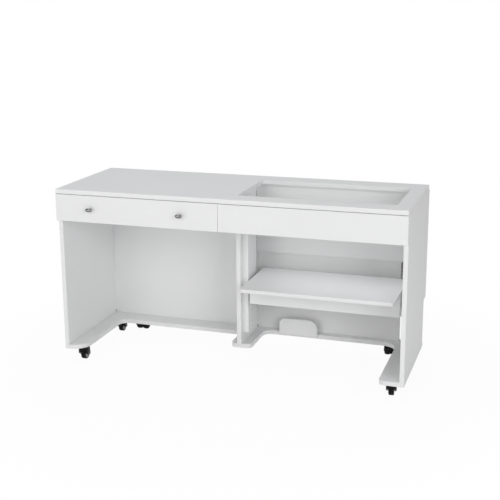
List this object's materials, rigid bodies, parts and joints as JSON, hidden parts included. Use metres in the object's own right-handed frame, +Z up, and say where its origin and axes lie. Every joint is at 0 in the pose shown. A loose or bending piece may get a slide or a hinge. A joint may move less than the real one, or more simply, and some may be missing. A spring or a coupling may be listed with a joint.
{
  "type": "sewing cabinet",
  "caption": "White sewing cabinet on castors with a wide drawer, a knee bay, a lift platform under an opening in the top, and a drop leaf behind.",
  "frame": {"origin": "on the floor, at the middle of the length and depth", "axes": "+X to the right seen from the front, +Y from the front to the leaf, +Z up"},
  "size_m": [1.45, 0.569, 0.762],
  "materials": {
    "white_laminate": "white melamine on board, satin",
    "zinc_steel": "zinc plated",
    "bright_metal": "bright nickel",
    "black_plastic": "moulded, satin",
    "black_tread": "smooth tread",
    "beech": "bare beech",
    "spring_steel": "drawn wire"
  },
  "bodies": {
    "cabinet": {"top_slab": "white_laminate", "left_side_panel": "white_laminate", "right_side_panel": "white_laminate", "divider": "white_laminate", "base_board": "white_laminate", "left_back_panel": "white_laminate", "right_back_panel": "white_laminate", "left_rear_rail": "white_laminate", "right_rear_rail": "white_laminate", "front_apron": "white_laminate", "apron_cleat": "white_laminate", "cable_guard": "white_laminate", "left_lift_column": "white_laminate", "right_lift_column": "white_laminate", "left_gate_leg": "white_laminate", "right_gate_leg": "white_laminate", "dowels": "beech", "drawer_rails": "zinc_steel", "lift_tracks": "zinc_steel", "lift_rests": "zinc_steel", "spring_anchors": "zinc_steel", "leaf_hinge_plates": "zinc_steel", "leaf_hinge_pins": "zinc_steel", "gate_hinge_plates": "zinc_steel", "gate_hinge_flaps": "zinc_steel", "castor_plates": "zinc_steel", "left_lift_spring": "spring_steel", "right_lift_spring": "spring_steel"},
    "drawer": {"drawer_front": "white_laminate", "drawer_left_side": "white_laminate", "drawer_right_side": "white_laminate", "drawer_inner_front": "white_laminate", "drawer_back": "white_laminate", "drawer_bottom": "white_laminate", "left_knob": "bright_metal", "right_knob": "bright_metal", "knob_screws": "zinc_steel", "drawer_runners": "zinc_steel"},
    "lift": {"lift_runners": "zinc_steel", "carriage_plates": "white_laminate", "carriage_sides": "white_laminate", "machine_platform": "white_laminate", "platform_front_beam": "white_laminate", "platform_rear_beam": "white_laminate", "spring_arms": "zinc_steel"},
    "leaf": {"rear_leaf": "white_laminate", "leaf_hinge_flaps": "zinc_steel"},
    "front_left_castor": {"front_left_housing": "black_plastic"},
    "front_left_wheel": {"front_left_wheel": "black_tread"},
    "front_right_castor": {"front_right_housing": "black_plastic"},
    "front_right_wheel": {"front_right_wheel": "black_tread"},
    "rear_left_castor": {"rear_left_housing": "black_plastic"},
    "rear_left_wheel": {"rear_left_wheel": "black_tread"},
    "rear_right_castor": {"rear_right_housing": "black_plastic"},
    "rear_right_wheel": {"rear_right_wheel": "black_tread"},
    "left_twin_castor": {"left_twin_hood": "black_plastic"},
    "left_twin_wheels": {"left_twin_wheels": "black_tread"},
    "right_twin_castor": {"right_twin_hood": "black_plastic"},
    "right_twin_wheels": {"right_twin_wheels": "black_tread"}
  },
  "joints": [
    {"name": "drawer_slide", "type": "slide", "parent": "cabinet", "child": "drawer", "axis": [0, -1, 0], "range_m": [0, 0.3]},
    {"name": "lift_slide", "type": "slide", "parent": "cabinet", "child": "lift", "axis": [0, 0, 1], "range_m": [0, 0.387], "deforming": ["left_lift_spring", "right_lift_spring"]},
    {"name": "leaf_hinge", "type": "hinge", "parent": "cabinet", "child": "leaf", "pos_m": [0, 0.258, 0.741], "axis": [1, 0, 0], "range_deg": [0, 90]},
    {"name": "front_left_swivel", "type": "hinge", "parent": "cabinet", "child": "front_left_castor", "pos_m": [-0.668, -0.1935, 0.062], "axis": [0, 0, 1], "continuous": true},
    {"name": "front_left_roll", "type": "hinge", "parent": "front_left_castor", "child": "front_left_wheel", "pos_m": [-0.66863, -0.17551, 0.025], "axis": [0.9994, 0.0349, 0], "continuous": true},
    {"name": "front_right_swivel", "type": "hinge", "parent": "cabinet", "child": "front_right_castor", "pos_m": [0.668, -0.1935, 0.062], "axis": [0, 0, 1], "continuous": true},
    {"name": "front_right_roll", "type": "hinge", "parent": "front_right_castor", "child": "front_right_wheel", "pos_m": [0.66674, -0.17554, 0.025], "axis": [0.9976, 0.0698, 0], "continuous": true},
    {"name": "rear_left_swivel", "type": "hinge", "parent": "cabinet", "child": "rear_left_castor", "pos_m": [-0.668, 0.1825, 0.062], "axis": [0, 0, 1], "continuous": true},
    {"name": "rear_left_roll", "type": "hinge", "parent": "rear_left_castor", "child": "rear_left_wheel", "pos_m": [-0.66894, 0.20047, 0.025], "axis": [0.9986, 0.0523, 0], "continuous": true},
    {"name": "rear_right_swivel", "type": "hinge", "parent": "cabinet", "child": "rear_right_castor", "pos_m": [0.668, 0.1825, 0.062], "axis": [0, 0, 1], "continuous": true},
    {"name": "rear_right_roll", "type": "hinge", "parent": "rear_right_castor", "child": "rear_right_wheel", "pos_m": [0.66612, 0.2004, 0.025], "axis": [0.9945, 0.1045, 0], "continuous": true},
    {"name": "left_twin_swivel", "type": "hinge", "parent": "cabinet", "child": "left_twin_castor", "pos_m": [-0.588, 0.2475, 0.064], "axis": [0, 0, 1], "continuous": true},
    {"name": "left_twin_roll", "type": "hinge", "parent": "left_twin_castor", "child": "left_twin_wheels", "pos_m": [-0.588, 0.2595, 0.023], "axis": [1, 0, 0], "continuous": true},
    {"name": "right_twin_swivel", "type": "hinge", "parent": "cabinet", "child": "right_twin_castor", "pos_m": [0.588, 0.2475, 0.064], "axis": [0, 0, 1], "continuous": true},
    {"name": "right_twin_roll", "type": "hinge", "parent": "right_twin_castor", "child": "right_twin_wheels", "pos_m": [0.588, 0.2595, 0.023], "axis": [1, 0, 0], "continuous": true}
  ]
}
